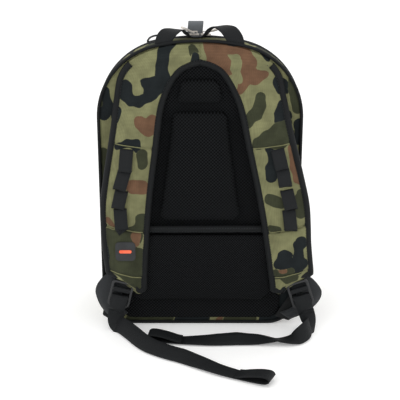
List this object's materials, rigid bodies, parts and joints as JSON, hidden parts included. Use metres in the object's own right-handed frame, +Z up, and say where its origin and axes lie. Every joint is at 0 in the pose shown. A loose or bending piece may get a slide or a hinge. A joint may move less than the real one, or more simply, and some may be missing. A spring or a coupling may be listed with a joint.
{
  "type": "tackle backpack",
  "caption": "Soft arched daypack with padded mesh back, trolley sleeve, wide yoke straps with ladder-lock adjusters, arched zips, front pocket and top handle.",
  "frame": {"origin": "centre of the base, on the surface that the pack stands on", "axes": "+Z up; the padded side that the wearer leans on faces -Y and the front pocket faces +Y; +X is to the right when looking at the padded side"},
  "size_m": [0.3808, 0.396, 0.4659],
  "materials": {
    "camo_cloth": "matt woven polyester with a printed camouflage",
    "black_cloth": "matt black woven polyester",
    "mesh_cloth": "black spacer mesh over foam",
    "black_webbing": "woven polyester webbing, slight sheen",
    "black_binding": "folded grosgrain binding",
    "stiff_sheet": "dark polyethylene sheet",
    "zip_tape": "dark grey zip tape with nylon coil",
    "zip_metal": "plated die-cast metal, satin",
    "pull_cord": "dark braided cord",
    "buckle_plastic": "moulded black acetal, fine texture",
    "badge_rubber": "moulded dark rubber, matt",
    "badge_accent": "orange moulded rubber, matt"
  },
  "bodies": {
    "pack": {"back_panel": "camo_cloth", "frame_sheet": "stiff_sheet", "rear_gusset": "camo_cloth", "base_tub": "camo_cloth", "base_board": "stiff_sheet", "main_zip_rear_half": "zip_tape", "back_liner": "black_cloth", "upper_back_pad": "mesh_cloth", "middle_back_pad": "mesh_cloth", "trolley_sleeve": "mesh_cloth", "sleeve_binding": "black_binding", "rear_piping": "black_binding", "yoke": "camo_cloth", "haul_handle": "black_webbing", "left_anchor_tab": "black_cloth", "right_anchor_tab": "black_cloth", "left_adjuster_web": "black_webbing", "right_adjuster_web": "black_webbing", "left_tail": "black_webbing", "right_tail": "black_webbing", "left_tail_loop": "black_webbing", "right_tail_loop": "black_webbing"},
    "main_panel": {"main_gusset": "camo_cloth", "divider": "black_cloth", "main_zip_front_half": "zip_tape", "front_zip_rear_half": "zip_tape", "grab_tab": "black_webbing"},
    "front_panel": {"front_gusset": "camo_cloth", "front_face": "camo_cloth", "front_zip_front_half": "zip_tape", "pocket_panel": "camo_cloth", "pocket_hood": "camo_cloth", "pocket_zip_lower_tape": "zip_tape", "pocket_zip_upper_tape": "zip_tape"},
    "left_main_runner": {"left_main_slider": "zip_metal"},
    "right_main_runner": {"right_main_slider": "zip_metal"},
    "left_main_tab": {"left_main_pull": "zip_metal"},
    "right_main_tab": {"right_main_pull": "zip_metal"},
    "front_runner": {"front_slider": "zip_metal"},
    "front_tab": {"front_pull": "pull_cord"},
    "pocket_runner": {"pocket_slider": "zip_metal"},
    "pocket_tab": {"pocket_pull": "zip_metal"},
    "left_strap": {"left_strap_pad": "camo_cloth", "left_lower_panel": "camo_cloth", "left_daisy_chain": "black_webbing", "left_pad_web": "black_webbing", "left_badge": "badge_rubber", "left_badge_bar": "badge_accent"},
    "right_strap": {"right_strap_pad": "camo_cloth", "right_lower_panel": "camo_cloth", "right_daisy_chain": "black_webbing", "right_pad_web": "black_webbing"},
    "left_lock": {"left_buckle": "buckle_plastic", "left_adjuster_wrap": "black_webbing"},
    "right_lock": {"right_buckle": "buckle_plastic", "right_adjuster_wrap": "black_webbing"}
  },
  "joints": [
    {"name": "main_panel_fold", "type": "hinge", "parent": "pack", "child": "main_panel", "pos_m": [0, 0.08, 0.014], "axis": [-1, 0, 0], "range_deg": [0, 45]},
    {"name": "front_panel_fold", "type": "hinge", "parent": "main_panel", "child": "front_panel", "pos_m": [0, 0.08, 0.014], "axis": [-1, 0, 0], "range_deg": [0, 25]},
    {"name": "left_main_slide", "type": "hinge", "parent": "main_panel", "child": "left_main_runner", "pos_m": [0, -0.045, 0.154], "axis": [0, -1, 0], "range_deg": [0, 9]},
    {"name": "right_main_slide", "type": "hinge", "parent": "main_panel", "child": "right_main_runner", "pos_m": [0, -0.045, 0.154], "axis": [0, 1, 0], "range_deg": [0, 9]},
    {"name": "left_main_pull_swing", "type": "hinge", "parent": "left_main_runner", "child": "left_main_tab", "pos_m": [-0.00863, -0.045, 0.44847], "axis": [0, 1, 0], "range_deg": [0, 72]},
    {"name": "right_main_pull_swing", "type": "hinge", "parent": "right_main_runner", "child": "right_main_tab", "pos_m": [0.00863, -0.045, 0.44847], "axis": [0, -1, 0], "range_deg": [0, 78]},
    {"name": "front_slide", "type": "hinge", "parent": "front_panel", "child": "front_runner", "pos_m": [0, 0.035, 0.13695], "axis": [0, 1, 0], "range_deg": [0, 16.5]},
    {"name": "front_pull_swing", "type": "hinge", "parent": "front_runner", "child": "front_tab", "pos_m": [-0.04354, 0.035, 0.42831], "axis": [0, 1, 0], "range_deg": [0, 100]},
    {"name": "pocket_slide", "type": "slide", "parent": "front_panel", "child": "pocket_runner", "axis": [1, 0, 0], "range_m": [0, 0.176]},
    {"name": "pocket_pull_swing", "type": "hinge", "parent": "pocket_runner", "child": "pocket_tab", "pos_m": [-0.088, 0.1086, 0.208], "axis": [0, 0, 1], "range_deg": [0, 160]},
    {"name": "left_strap_swing", "type": "hinge", "parent": "pack", "child": "left_strap", "pos_m": [0, -0.095, 0.3717], "axis": [-1, 0, 0], "range_deg": [0, 12]},
    {"name": "right_strap_swing", "type": "hinge", "parent": "pack", "child": "right_strap", "pos_m": [0, -0.095, 0.3717], "axis": [-1, 0, 0], "range_deg": [0, 12]},
    {"name": "left_lock_lift", "type": "hinge", "parent": "left_strap", "child": "left_lock", "pos_m": [-0.11931, -0.10475, 0.06679], "axis": [-0.9703, 0, 0.2419], "range_deg": [0, 12]},
    {"name": "right_lock_lift", "type": "hinge", "parent": "right_strap", "child": "right_lock", "pos_m": [0.15084, -0.10475, 0.06666], "axis": [-0.9511, 0, -0.309], "range_deg": [0, 12]}
  ]
}
